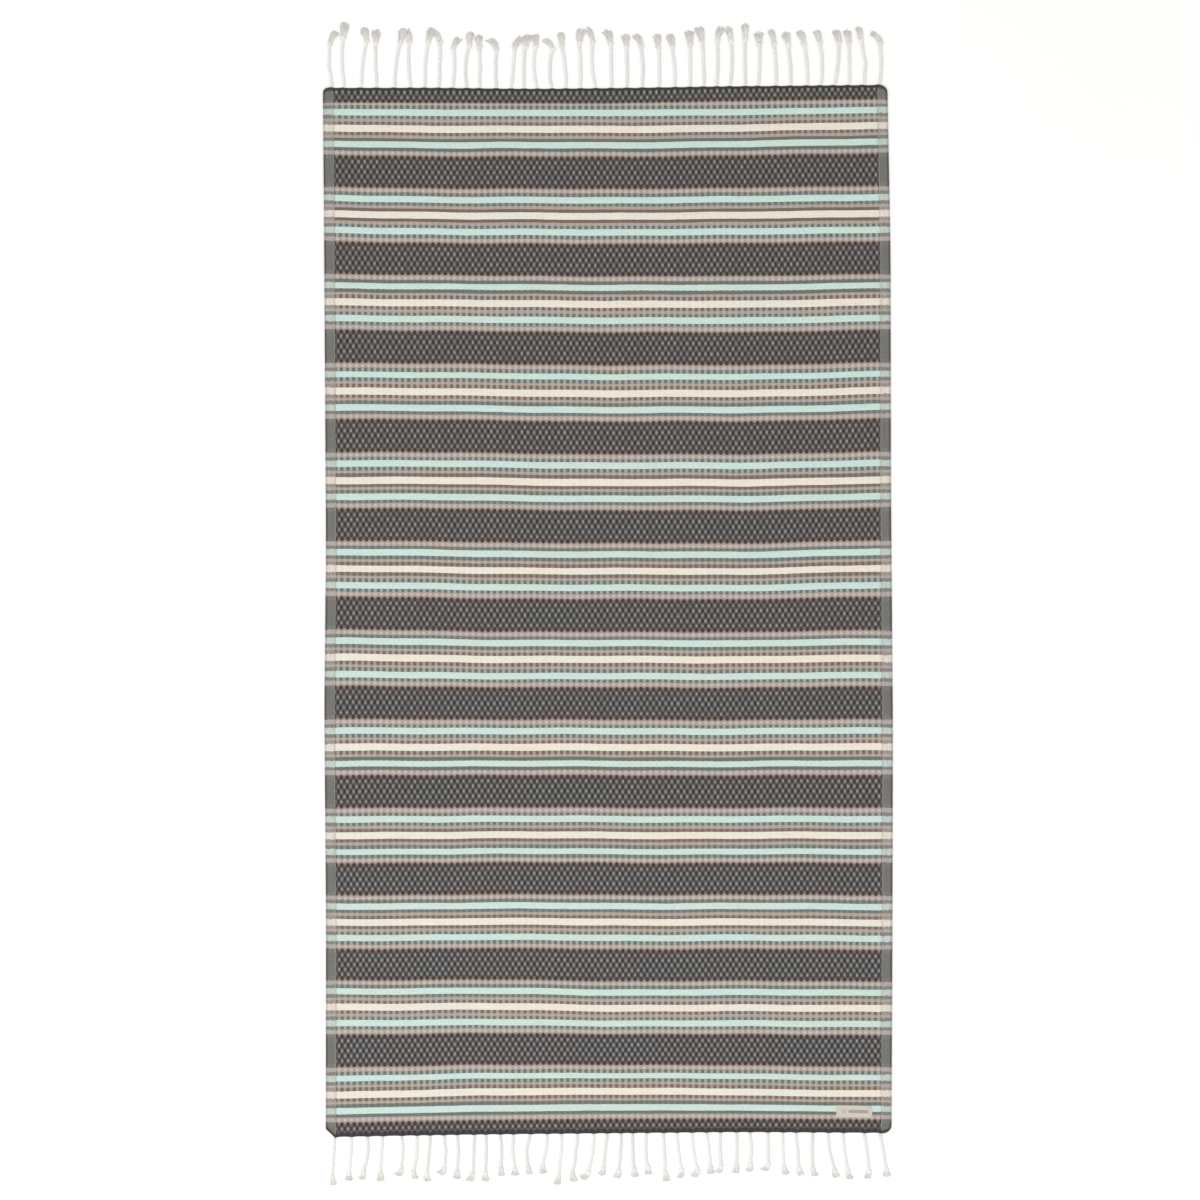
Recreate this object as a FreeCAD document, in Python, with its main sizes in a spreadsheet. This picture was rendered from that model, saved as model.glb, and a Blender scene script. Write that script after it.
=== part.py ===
"""A flat-woven cotton bath mat with turned side hems, a sewn label and knotted fringe.

The mat lies flat on Z = 0 with its long side along Y. The origin is under the middle of the
whole outline, fringe included. The cloth is made as two halves that meet at the fold line, and
each end's tassels are separate solids, two to a node.
"""

import FreeCAD, Part
import math
import os

import Sketcher
from FreeCAD import Placement, Rotation, Vector

doc = FreeCAD.newDocument("bath_mat")

# Driving dimensions in millimetres.
SIZES = {
    "cloth_width": 960,
    "cloth_length": 1780,
    "cloth_thickness": 2,
    "corner_radius": 13,
    "fold_gap": 0.5,  # between the two halves, at the fold line
    "hem_width": 18,
    "hem_thickness": 1,
    "thread_width": 0.8,
    "thread_height": 0.3,
    "seam_inset": 1.6,  # from the hem's inner edge to the middle of its seam
    "label_width": 61,
    "label_height": 20,
    "label_thickness": 0.6,
    "label_side_inset": 30,  # from the cloth's side edge
    "label_end_inset": 28,  # from the cloth's end edge
    "label_seam_inset": 1.5,
    "cord_radius": 1.75,
    "root_gap": 0.5,  # between the cloth's end edge and each cord
    "knot_radius": 4,
    "knot_height": 7,
    "knot_edge": 1.5,
    "brush_narrow": 4,
    "brush_wide": 6,
    "brush_height": 4,
}

# Each tassel as it lies: the root's place along X, then, all sideways, how far its cord bows
# from straight, how far its knot leans from the root and how far its brush hooks from the knot,
# and last how far the whole tassel reaches past the cloth.
FRONT_TASSELS = [
    (-463, -1, -5, 1, 82),
    (-436, 1, -4, -1, 74),
    (-408, 3, -7, -3, 73),
    (-382, -1, -4, 0, 76),
    (-350, 2, -1, -3, 68),
    (-324, 2, -6, 2, 74),
    (-302, 1, -6, 0, 78),
    (-279, 3, 1, -6, 68),
    (-256, 2, 0, -1, 74),
    (-227, 1, -3, -4, 79),
    (-207, 1, -1, 0, 79),
    (-182, 1, 1, 0, 70),
    (-160, -2, 2, 1, 70),
    (-130, -5, -5, 1, 68),
    (-102, 1, -9, 2, 67),
    (-78, 1, -6, -1, 86),
    (-51, 1, -9, 2, 81),
    (-23, 2, -10, -8, 79),
    (0, -1, -7, -3, 71),
    (23, 1, -4, -3, 76),
    (43, -1, 2, 2, 74),
    (68, -4, 1, 0, 70),
    (96, -1, 3, 2, 82),
    (118, -1, 8, 0, 76),
    (144, -2, 9, -5, 76),
    (168, 1, 7, 0, 70),
    (192, -1, 1, -4, 69),
    (219, 1, 0, -2, 69),
    (242, 2, 1, -1, 66),
    (272, 1, 1, -5, 66),
    (298, -1, 2, 3, 71),
    (320, 1, 5, 3, 73),
    (349, -1, 0, 3, 74),
    (375, -2, 11, 3, 76),
    (400, -1, 9, 2, 79),
    (436, 1, 9, -2, 77),
    (463, 1, 11, 1, 74),
]
BACK_TASSELS = [
    (-467, -4, -5, 7, 97),
    (-447, -3, -3, 3, 111),
    (-418, -2, 8, -3, 102),
    (-391, -2, -3, 0, 99),
    (-361, -3, 9, 3, 101),
    (-334, -3, -3, -5, 101),
    (-310, -2, 5, 4, 102),
    (-287, 1, 2, -7, 100),
    (-264, 3, 2, 6, 87),
    (-238, -5, 3, 0, 95),
    (-218, 1, 0, -2, 91),
    (-189, -1, 0, -9, 87),
    (-164, 1, 6, 9, 91),
    (-141, -2, 1, 4, 92),
    (-119, -5, -3, -3, 93),
    (-94, -5, 1, -10, 87),
    (-71, 2, -7, -1, 95),
    (-46, 1, -2, 2, 102),
    (-20, -4, -5, -7, 104),
    (6, 1, -1, -4, 99),
    (33, 1, -1, -1, 91),
    (59, 2, -2, -5, 92),
    (87, 2, -1, -2, 90),
    (115, 1, -5, -2, 90),
    (140, 1, 0, -1, 96),
    (163, 2, -3, -4, 102),
    (186, 1, 1, 3, 102),
    (208, 3, 2, -4, 101),
    (235, -1, -1, 0, 106),
    (256, 2, 2, -2, 92),
    (287, 1, -4, -4, 95),
    (312, 1, -5, -4, 91),
    (340, 2, -6, -4, 93),
    (363, 3, -2, -4, 94),
    (386, 3, 7, -2, 94),
    (411, 1, -1, -2, 94),
    (436, 4, -5, -4, 99),
    (463, 2, 1, -8, 92),
]
FRONT_KNOT_SHARE = 0.84  # how far along a front tassel its knot sits
BACK_KNOT_SHARE = 0.76
BOW_SHARE = 0.5  # how far along its cord a tassel bows most
ARC_SHARE = 0.45  # of the shorter run, taken by the arc at a turn
TASSELS_PER_NODE = 2
SAME_POINT = 1e-6  # how near two points are when they count as one
VOLUME_SLACK = 0.01  # how far a swept cord's volume may be from its section times its length


def make_sheet():
    sheet = doc.addObject("Spreadsheet::Sheet", "sizes")
    for row, (name, value) in enumerate(SIZES.items(), start=1):
        sheet.set(f"A{row}", name)
        sheet.set(f"B{row}", str(value))
        sheet.setAlias(f"B{row}", name)
    # The cloth's middle line is off the origin by half of what the longer fringe adds.
    longest_front = max(tassel[-1] for tassel in FRONT_TASSELS)
    longest_back = max(tassel[-1] for tassel in BACK_TASSELS)
    row += 1
    sheet.set(f"A{row}", "fold_line")
    sheet.set(f"B{row}", str((longest_front - longest_back) / 2))
    sheet.setAlias(f"B{row}", "fold_line")
    doc.recompute()
    return sheet


sheet = make_sheet()
width = sheet.cloth_width
length = sheet.cloth_length
fold_line = sheet.fold_line


def origin_plane(body, role):
    return next(plane for plane in body.Origin.OriginFeatures if plane.Role == role)


def draw_outline(sketch, corners):
    """A closed outline. Each corner is (x, y, x expression, y expression, radius expression),
    and the last is None at a square corner."""
    points = [Vector(x, y, 0) for x, y, *_ in corners]
    count = len(points)
    ends = []  # where each corner's side comes in and goes out, as points
    for index, (*_, radius_name) in enumerate(corners):
        radius = getattr(sheet, radius_name) if radius_name else 0
        before = (points[index - 1] - points[index]).normalize()
        after = (points[(index + 1) % count] - points[index]).normalize()
        ends.append((points[index] + before * radius, points[index] + after * radius))
    sides = []
    for index in range(count):
        following = (index + 1) % count
        sides.append(sketch.addGeometry(Part.LineSegment(ends[index][1], ends[following][0])))
    for index, (_, _, x_name, y_name, radius_name) in enumerate(corners):
        side_in, side_out = sides[index - 1], sides[index]
        if radius_name:
            add_round_corner(sketch, points[index], ends[index], side_in, side_out, radius_name)
        else:
            sketch.addConstraint(Sketcher.Constraint("Coincident", side_in, 2, side_out, 1))
            for kind, name, value in (
                ("DistanceX", x_name, points[index].x),
                ("DistanceY", y_name, points[index].y),
            ):
                if name:
                    drive(sketch, Sketcher.Constraint(kind, -1, 1, side_out, 1, value), name)
    for index, side in enumerate(sides):
        run = points[(index + 1) % count] - points[index]
        kind = "Horizontal" if abs(run.x) > abs(run.y) else "Vertical"
        sketch.addConstraint(Sketcher.Constraint(kind, side))


def add_round_corner(sketch, corner, ends, side_in, side_out, radius_name):
    radius = getattr(sheet, radius_name)
    centre = ends[0] + (ends[1] - corner)
    middle = centre + (corner - centre).normalize() * radius
    arc = sketch.addGeometry(Part.Arc(ends[0], middle, ends[1]))
    start = 1 if sketch.getPoint(arc, 1).distanceToPoint(ends[0]) < SAME_POINT else 2
    sketch.addConstraint(Sketcher.Constraint("Tangent", side_in, 2, arc, start))
    sketch.addConstraint(Sketcher.Constraint("Tangent", arc, 3 - start, side_out, 1))
    drive(sketch, Sketcher.Constraint("Radius", arc, radius), f"sizes.{radius_name}")


def drive(sketch, constraint, expression):
    index = sketch.addConstraint(constraint)
    sketch.setExpression(f"Constraints[{index}]", expression)


def padded_outline(name, corners, height_name, base_expression):
    """A body whose outline on XY is padded upwards from base_expression."""
    body = doc.addObject("PartDesign::Body", name)
    body.Label = name
    sketch = body.newObject("Sketcher::SketchObject", f"{name}_outline")
    sketch.AttachmentSupport = [(origin_plane(body, "XY_Plane"), "")]
    sketch.MapMode = "FlatFace"
    for outline in corners:
        draw_outline(sketch, outline)
    pad = body.newObject("PartDesign::Pad", f"{name}_pad")
    pad.Profile = sketch
    pad.setExpression("Length", f"sizes.{height_name}")
    sketch.Visibility = False
    if base_expression:
        body.setExpression("Placement.Base.z", base_expression)
    return body


HALVES = {"front": -1, "back": 1}
SIDES = {"left": -1, "right": 1}


def half_ends(direction):
    """The Y of a half's edge at the fold and of its outer end, with their expressions."""
    sign = "-" if direction < 0 else "+"
    inner = fold_line + direction * sheet.fold_gap / 2
    outer = fold_line + direction * length / 2
    inner_name = f"sizes.fold_line {sign} sizes.fold_gap / 2"
    outer_name = f"sizes.fold_line {sign} sizes.cloth_length / 2"
    return (inner, inner_name), (outer, outer_name)


def panel_half(half):
    (inner, inner_name), (outer, outer_name) = half_ends(HALVES[half])
    side = width / 2
    round_corner = "corner_radius"
    # The two square corners at the fold line set both sides and the inner end. The outer end,
    # between the two rounded corners, is set by its own distance below.
    corners = [
        (-side, inner, "-sizes.cloth_width / 2", inner_name, None),
        (-side, outer, None, None, round_corner),
        (side, outer, None, None, round_corner),
        (side, inner, "sizes.cloth_width / 2", None, None),
    ]
    body = padded_outline(f"woven_panel_{half}", [corners], "cloth_thickness", None)
    end_edge = 1  # the outline's second side
    set_end(body, end_edge, outer, outer_name)
    return body


def set_end(body, edge, outer, outer_name):
    sketch = next(o for o in body.Group if o.isDerivedFrom("Sketcher::SketchObject"))
    drive(sketch, Sketcher.Constraint("DistanceY", -1, 1, edge, 1, outer), outer_name)


def side_hem(side_name, half):
    """The cloth's side edge, turned over onto its face, with its outer corner rounded."""
    direction = SIDES[side_name]
    (inner, inner_name), (outer, outer_name) = half_ends(HALVES[half])
    sign = "-" if direction < 0 else ""
    edge = direction * width / 2
    face = direction * (width / 2 - sheet.hem_width)
    corners = [
        (edge, inner, f"{sign}sizes.cloth_width / 2", inner_name, None),
        (edge, outer, None, None, "corner_radius"),
        (face, outer, f"{sign}(sizes.cloth_width / 2 - sizes.hem_width)", outer_name, None),
        (face, inner, None, None, None),
    ]
    name = f"side_hem_{side_name}_{half}"
    return padded_outline(name, [corners], "hem_thickness", "sizes.cloth_thickness")


def hem_stitching(side_name, half):
    """A straight line of sewing thread along the hem, near its inner edge."""
    (inner, _), (outer, _) = half_ends(HALVES[half])
    name = f"hem_stitching_{side_name}_{half}"
    seam = doc.addObject("Part::Box", name)
    seam.Label = name
    seam.setExpression("Width", "sizes.cloth_length / 2 - sizes.fold_gap / 2")
    seam.setExpression("Length", "sizes.thread_width")
    seam.setExpression("Height", "sizes.thread_height")
    from_middle = "(sizes.cloth_width / 2 - sizes.hem_width + sizes.seam_inset)"
    sign = "-" if side_name == "left" else ""
    seam.setExpression("Placement.Base.x", f"{sign}{from_middle} - sizes.thread_width / 2")
    low_end = half_ends(HALVES[half])[1 if half == "front" else 0][1]
    seam.setExpression("Placement.Base.y", low_end)
    seam.setExpression("Placement.Base.z", "sizes.cloth_thickness + sizes.hem_thickness")
    return seam


def rectangle(left, right, low, high):
    """A square-cornered outline. Each side is (value, expression)."""
    return [
        (left[0], low[0], left[1], low[1], None),
        (right[0], low[0], right[1], None, None),
        (right[0], high[0], None, high[1], None),
        (left[0], high[0], None, None, None),
    ]


def label_rectangle(inset, inset_name):
    """The label's outline on the mat, drawn in by inset on every side."""
    right = width / 2 - sheet.label_side_inset - inset
    left = width / 2 - sheet.label_side_inset - sheet.label_width + inset
    low = fold_line - length / 2 + sheet.label_end_inset + inset
    high = low + sheet.label_height - 2 * inset
    low_name = f"sizes.fold_line - sizes.cloth_length / 2 + sizes.label_end_inset + {inset_name}"
    right_name = f"sizes.cloth_width / 2 - sizes.label_side_inset - {inset_name}"
    left_name = f"sizes.cloth_width / 2 - sizes.label_side_inset - sizes.label_width + {inset_name}"
    high_name = f"{low_name} + sizes.label_height - 2 * ({inset_name})"
    return rectangle((left, left_name), (right, right_name), (low, low_name), (high, high_name))


def woven_label():
    outline = label_rectangle(0, "0")
    return padded_outline("woven_label", [outline], "label_thickness", "sizes.cloth_thickness")


def label_stitching():
    """The thread round the label, as a thin frame on its face."""
    outer = label_rectangle(sheet.label_seam_inset, "sizes.label_seam_inset")
    inner = label_rectangle(
        sheet.label_seam_inset + sheet.thread_width,
        "(sizes.label_seam_inset + sizes.thread_width)",
    )
    base = "sizes.cloth_thickness + sizes.label_thickness"
    return padded_outline("label_stitching", [outer, inner], "thread_height", base)


def round_route(points):
    """A wire of straight runs joined by tangent arcs, with the arcs' radii."""
    edges = []
    radii = []
    start = points[0]
    for before, corner, after in zip(points, points[1:], points[2:]):
        run_in, run_out = corner - before, after - corner
        reach = ARC_SHARE * min(run_in.Length, run_out.Length)
        arc_start = corner - run_in.normalize() * reach
        arc_end = corner + run_out.normalize() * reach
        half_turn = run_in.getAngle(run_out) / 2
        radius = reach / math.tan(half_turn)
        inward = (arc_start + arc_end) / 2 - corner
        to_centre = radius / math.cos(half_turn)
        middle = corner + inward.normalize() * (to_centre - radius)
        edges.append(Part.LineSegment(start, arc_start).toShape())
        edges.append(Part.Arc(arc_start, middle, arc_end).toShape())
        radii.append(radius)
        start = arc_end
    edges.append(Part.LineSegment(start, points[-1]).toShape())
    return Part.Wire(edges), radii


def tassel_solid(tassel, direction, knot_share):
    """One twisted tassel as one solid: its cord, the knot that ends it and the loose brush."""
    root_x, bow, lean, hook, reach = tassel
    edge = fold_line + direction * length / 2
    radius = sheet.cord_radius
    knot_reach = reach * knot_share

    def place(sideways, outwards, height):
        return Vector(root_x + sideways, edge + direction * outwards, height)

    bow_reach = sheet.root_gap + (knot_reach - sheet.root_gap) * BOW_SHARE
    route = [
        place(0, sheet.root_gap, radius),
        place(lean * BOW_SHARE + bow, bow_reach, radius),
        place(lean, knot_reach, radius),
    ]
    wire, radii = round_route(route)
    start = route[0]
    heading = route[1] - route[0]
    profile = Part.Wire([Part.makeCircle(radius, start, heading)])
    cord = wire.makePipeShell([profile], True, False)
    expected = math.pi * radius**2 * wire.Length
    if abs(cord.Volume / expected - 1) > VOLUME_SLACK:
        raise RuntimeError(f"cord at X {root_x} has the wrong volume")

    knot = Part.makeCylinder(sheet.knot_radius, sheet.knot_height, place(lean, knot_reach, 0))
    rims = [rim for rim in knot.Edges if isinstance(rim.Curve, Part.Circle)]
    knot = knot.makeFillet(sheet.knot_edge, rims)

    narrow, wide = sheet.brush_narrow / 2, sheet.brush_wide / 2
    fan = [
        place(lean - narrow, knot_reach, 0),
        place(lean + narrow, knot_reach, 0),
        place(lean + hook + wide, reach, 0),
        place(lean + hook - wide, reach, 0),
    ]
    face = Part.Face(Part.makePolygon(fan + fan[:1]))
    brush = face.extrude(Vector(0, 0, sheet.brush_height))
    solid = cord.fuse([knot, brush]).removeSplitter()
    return solid.Solids[0], radii


def tassel_nodes(row, tassels, direction, knot_share):
    """A Part::Feature for each pair of neighbouring tassels."""
    nodes = []
    tightest = math.inf
    for first in range(0, len(tassels), TASSELS_PER_NODE):
        made = [
            tassel_solid(tassel, direction, knot_share)
            for tassel in tassels[first : first + TASSELS_PER_NODE]
        ]
        solids = [solid for solid, _ in made]
        tightest = min([tightest] + [min(radii) for _, radii in made])
        name = f"{row}_tassels_{first // TASSELS_PER_NODE + 1:02d}"
        node = doc.addObject("Part::Feature", name)
        node.Label = name
        node.Shape = Part.makeCompound(solids) if len(solids) > 1 else solids[0]
        node.Placement = Placement(Vector(0, 0, 0), Rotation())
        nodes.append(node)
    print(f"{row} tassels: {len(tassels)}, tightest cord radius {tightest:.0f} mm")
    return nodes


def check_document():
    """Stops with a message if any object failed to compute."""
    for item in doc.Objects:
        if {"Invalid", "Error"} & set(item.State):
            raise RuntimeError(f"{item.Name} failed: {item.State}")


def write_parts(nodes):
    os.makedirs("parts", exist_ok=True)
    for node in nodes:
        if node.Shape.isNull() or not node.Shape.isValid():
            raise RuntimeError(f"{node.Label} has no valid shape")
        node.Shape.exportStep(f"parts/{node.Label}.step")


nodes = [panel_half(half) for half in HALVES]
nodes += [side_hem(side, half) for side in SIDES for half in HALVES]
nodes += [hem_stitching(side, half) for side in SIDES for half in HALVES]
nodes += [woven_label(), label_stitching()]
nodes += tassel_nodes("front", FRONT_TASSELS, HALVES["front"], FRONT_KNOT_SHARE)
nodes += tassel_nodes("back", BACK_TASSELS, HALVES["back"], BACK_KNOT_SHARE)
doc.recompute()
check_document()
write_parts(nodes)

whole = Part.makeCompound([node.Shape for node in nodes]).BoundBox
print(f"{len(nodes)} nodes, {whole.XLength:.1f} x {whole.YLength:.1f} x {whole.ZLength:.1f} mm")
print(f"X {whole.XMin:.2f} to {whole.XMax:.2f}, Y {whole.YMin:.2f} to {whole.YMax:.2f}")
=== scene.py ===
"""Looks of a flat-woven striped cotton bath mat with knotted fringe, around its CAD frame.

Lengths here are in millimetres and are scaled to metres as each mesh is made. The weave is laid
out in cloth coordinates: u runs across the mat from its middle, and s along it from the back edge.
"""

import math
from collections import namedtuple
from functools import partialmethod

import bpy
import numpy as np
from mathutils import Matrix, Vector


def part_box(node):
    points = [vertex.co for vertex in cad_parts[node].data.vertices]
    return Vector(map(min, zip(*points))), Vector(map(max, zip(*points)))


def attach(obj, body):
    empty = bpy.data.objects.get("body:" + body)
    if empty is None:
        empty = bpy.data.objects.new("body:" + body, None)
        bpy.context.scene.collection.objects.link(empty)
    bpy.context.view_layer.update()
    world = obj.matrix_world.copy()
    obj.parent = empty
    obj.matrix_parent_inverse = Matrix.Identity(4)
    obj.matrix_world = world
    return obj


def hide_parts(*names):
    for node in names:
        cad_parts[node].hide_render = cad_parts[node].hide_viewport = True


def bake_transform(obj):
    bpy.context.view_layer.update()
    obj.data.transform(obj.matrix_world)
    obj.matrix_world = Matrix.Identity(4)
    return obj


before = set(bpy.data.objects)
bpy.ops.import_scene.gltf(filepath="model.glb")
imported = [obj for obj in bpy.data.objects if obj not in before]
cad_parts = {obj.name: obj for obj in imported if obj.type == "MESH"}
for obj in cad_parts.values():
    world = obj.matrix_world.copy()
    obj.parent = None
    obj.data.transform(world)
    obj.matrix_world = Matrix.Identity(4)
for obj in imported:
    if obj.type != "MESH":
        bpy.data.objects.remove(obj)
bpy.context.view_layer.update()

MM = 0.001
SEED = 20

# The cloth, as in the CAD model.
CLOTH_LENGTH = 1780.0
BACK_EDGE = 877.5
FOLD_LINE = -12.5
CLOTH_TOP = 2.0
HALF_WIDTH = 480.0
SHEET_HALF_WIDTH = 478.4
SEAM = 463.6

# Where the real edges wander to: (along, edge).
LEFT_EDGE = [(-900, -479), (-540, -478.5), (-180, -481.5), (100, -478.5), (650, -482), (880, -484)]
RIGHT_EDGE = [(-900, 482.5), (-600, 484), (-200, 485), (200, 481.5), (600, 481), (880, 475.5)]
BACK_LINE = [(-480, 876), (-300, 876), (-130, 874), (50, 876), (200, 878.5), (480, 881)]
FRONT_LINE = [(-480, -909), (-400, -907), (-250, -904.5), (0, -902), (220, -900), (480, -901.5)]
CORNER = 13.0
BACK_LEFT_CORNER = 8.0
CHAMFER = 15.0
# How far in a corner's cut fades out, and how far round them the edges' anchors are evened out.
CORNER_REACH = 45
SPREAD = 45.0

# How far the stripes lie towards the front from where an even weave would have them: at each
# distance from the back edge, at five places from left to right.
SETTLE_ACROSS = [-450, -225, 0, 225, 450]
SETTLE = [
    (4, (6, 7, 8, 3, 0)),
    (12, (6.5, 7.3, 7.8, 2.8, -0.5)),
    (21, (4.5, 5.7, 6.2, 1.8, -1)),
    (30, (1, 2, 2, 1, -2)),
    (70, (1, 3, 3, 1, -4)),
    (220, (-3, 1, 1, 0, -4)),
    (370, (-3, 0, 1, 2, -3)),
    (520, (-1, 2, 4, 4, -1)),
    (670, (2, 3, 6, 6, 2)),
    (820, (3, 6, 8, 8, 3)),
    (965, (5, 8, 9, 9, 7)),
    (1115, (9, 8, 9, 9, 8)),
    (1265, (10, 8, 9, 9, 9)),
    (1410, (8, 6, 7, 7, 8)),
    (1560, (2, 1, 4, 4, 4)),
    (1710, (2, -2.5, -5, -2.5, 0)),
]

# The weave: a repeat of stripes along s, and a pitch of dashes and dots along u. A pick is one
# yarn that runs across the mat, and an end is one that runs along it.
WEAVE_START = -3.0
WEAVE_END = 1783.0
REPEAT = 149.3
FIRST_DARK = -5.25
PITCH = 10.4
ROW_HEIGHT = 8.6
# Half the width and height of a dark tooth, and of the hollow between dots.
TOOTH = (3.2, 4.2)
HOLLOW = (2.5, 3.5)
TOOTH_MIDDLE = 24.7
COLUMN = PITCH / 4
PICK = ROW_HEIGHT / 8
END = PITCH / 8


def srgb(red, green, blue):
    """A display colour from 0 to 255 as the linear colour that a shader takes."""

    def linear(value):
        value /= 255
        return value / 12.92 if value <= 0.04045 else ((value + 0.055) / 1.055) ** 2.4

    return (linear(red), linear(green), linear(blue), 1.0)


# One stripe of the weave: its width, its rows of mesh, the ground's colour, the pattern yarn's and
# how much that shows, the shift of every dash, the heights of both, and the hem's colour.
Zone = namedtuple("Zone", "name width rows ground float strength offset low high hem")

# The stripes from the middle of a cream band outwards to the middle of a dark one.
ZONES = [
    Zone("cream", 5.7, 3, (229, 223, 210), (217, 210, 197), 0.15, 0.0, 0.0, 0.1, (216, 209, 197)),
    Zone("brown", 5.9, 2, (166, 152, 142), (110, 93, 83), 1.0, 0.0, -0.25, 0.25, (150, 140, 132)),
    Zone("taupe", 4.6, 3, (164, 152, 144), (186, 175, 167), 0.6, 0.5, 0.0, 0.2, (170, 161, 154)),
    Zone("green", 6.0, 2, (156, 162, 154), (96, 104, 96), 1.0, 0.0, -0.25, 0.25, (124, 126, 119)),
    Zone("mint", 10.5, 6, (199, 219, 211), (188, 208, 200), 0.15, 0.5, 0.0, 0.1, (186, 196, 190)),
    Zone("green", 6.0, 2, (156, 162, 154), (96, 104, 96), 1.0, 0.0, -0.25, 0.25, (124, 126, 119)),
    Zone("taupe", 7.2, 4, (168, 154, 147), (200, 190, 183), 0.8, 0.5, 0.0, 0.25, (170, 161, 155)),
    Zone("teeth", 7.25, 3, (104, 93, 87), (50, 40, 36), 1.0, 0.0, 0.2, -0.25, (119, 115, 111)),
    Zone("dots", 21.5, 10, (82, 79, 77), (156, 153, 148), 1.0, 0.0, 0.0, 0.45, (111, 109, 106)),
]
LIMITS = np.cumsum([zone.width for zone in ZONES])
DOT_ZONE = len(ZONES) - 1
TEETH_ZONE = DOT_ZONE - 1
BANDED_ZONES = (0, 4)
CENTRES = LIMITS - np.array([zone.width / 2 for zone in ZONES])
LINES = ("brown", "taupe", "green")
LINE_CENTRES = [centre for zone, centre in zip(ZONES, CENTRES) if zone.name in LINES]

# How far each light group's lines are woven solid instead of dashed, from the back group to the
# front one: round its first mint band, round its second and round its cream band.
SOLID = [
    (0, 1, 0.3), (0.4, 0, 1), (1, 0, 0), (0, 0.7, 0),
    (0, 0.5, 0.8), (0.7, 0, 0.6), (0.6, 0, 0.1), (0, 1, 0),
    (0.1, 0.5, 0.7), (0.75, 0, 0.5), (0.5, 0, 0), (0, 0.9, 0.2),
]

# Each tassel as it lies, as in the CAD model: the root's place along X, how far the cord bows,
# how far its knot leans, how far its brush hooks, and how far it reaches past the cloth.
FRONT_TASSELS = [
    (-463, -1, -5, 1, 82), (-436, 1, -4, -1, 74), (-408, 3, -7, -3, 73), (-382, -1, -4, 0, 76),
    (-350, 2, -1, -3, 68), (-324, 2, -6, 2, 74), (-302, 1, -6, 0, 78), (-279, 3, 1, -6, 68),
    (-256, 2, 0, -1, 74), (-227, 1, -3, -4, 79), (-207, 1, -1, 0, 79), (-182, 1, 1, 0, 70),
    (-160, -2, 2, 1, 70), (-130, -5, -5, 1, 68), (-102, 1, -9, 2, 67), (-78, 1, -6, -1, 86),
    (-51, 1, -9, 2, 81), (-23, 2, -10, -8, 79), (0, -1, -7, -3, 71), (23, 1, -4, -3, 76),
    (43, -1, 2, 2, 74), (68, -4, 1, 0, 70), (96, -1, 3, 2, 82), (118, -1, 8, 0, 76),
    (144, -2, 9, -5, 76), (168, 1, 7, 0, 70), (192, -1, 1, -4, 69), (219, 1, 0, -2, 69),
    (242, 2, 1, -1, 66), (272, 1, 1, -5, 66), (298, -1, 2, 3, 71), (320, 1, 5, 3, 73),
    (349, -1, 0, 3, 74), (375, -2, 11, 3, 76), (400, -1, 9, 2, 79), (436, 1, 9, -2, 77),
    (463, 1, 11, 1, 74),
]
BACK_TASSELS = [
    (-467, -4, -5, 7, 97), (-447, -3, -3, 3, 111), (-418, -2, 8, -3, 102), (-391, -2, -3, 0, 99),
    (-361, -3, 9, 3, 101), (-334, -3, -3, -5, 101), (-310, -2, 5, 4, 102), (-287, 1, 2, -7, 100),
    (-264, 3, 2, 6, 87), (-238, -5, 3, 0, 95), (-218, 1, 0, -2, 91), (-189, -1, 0, -9, 87),
    (-164, 1, 6, 9, 91), (-141, -2, 1, 4, 92), (-119, -5, -3, -3, 93), (-94, -5, 1, -10, 87),
    (-71, 2, -7, -1, 95), (-46, 1, -2, 2, 102), (-20, -4, -5, -7, 104), (6, 1, -1, -4, 99),
    (33, 1, -1, -1, 91), (59, 2, -2, -5, 92), (87, 2, -1, -2, 90), (115, 1, -5, -2, 90),
    (140, 1, 0, -1, 96), (163, 2, -3, -4, 102), (186, 1, 1, 3, 102), (208, 3, 2, -4, 101),
    (235, -1, -1, 0, 106), (256, 2, 2, -2, 92), (287, 1, -4, -4, 95), (312, 1, -5, -4, 91),
    (340, 2, -6, -4, 93), (363, 3, -2, -4, 94), (386, 3, 7, -2, 94), (411, 1, -1, -2, 94),
    (436, 4, -5, -4, 99), (463, 2, 1, -8, 92),
]
CORD_RADIUS = 2.4
PLY_RADIUS = 1.3
KNOT_CORD_RADIUS = 1.35
KNOT_HEIGHT = 3.3
ROOT_INSIDE = 2.5
BRUSH_THREADS = 20
THREAD_RADIUS = 0.33
ROWS_OF_TASSELS = {
    "front": {"tassels": FRONT_TASSELS, "direction": -1, "knot": 0.84, "line": FRONT_LINE},
    "back": {"tassels": BACK_TASSELS, "direction": 1, "knot": 0.76, "line": BACK_LINE},
}
NODES_PER_ROW = 19
PIECES_PER_ROW = 9

# The stitches.
HEM_STITCH_PITCH = 4.0
HEM_STITCH_LENGTH = 3.1
HEM_STITCH_HEIGHT = 3.05
LABEL_STITCH_PITCH = 3.0
LABEL_STITCH_HEIGHT = CLOTH_TOP + 0.78
LABEL_INSET = 1.5
LABEL_TILT = math.radians(-1.2)

# The studio. The camera's place and the lights' places and sizes are in metres.
FLOOR_SIDES = 96
FLOOR_RADIUS = 60000.0
FLOOR_HEIGHT = -0.05
CAMERA_PLACE = (-0.0128, 0.005, 4.82)
WORLD_STRENGTH = 0.74
LIGHTS = [("key_light", (-2.0, -1.2, 4.6), 2.4, 112), ("fill_light", (3.4, -2.2, 4.6), 3.0, 60)]

# The darkest colours: the painted shadow along each end, and the hollows between dots.
END_SHADOW = (48, 45, 44)
HOLLOW_COLOUR = (45, 43, 42)


# ---- cloth coordinates


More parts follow.
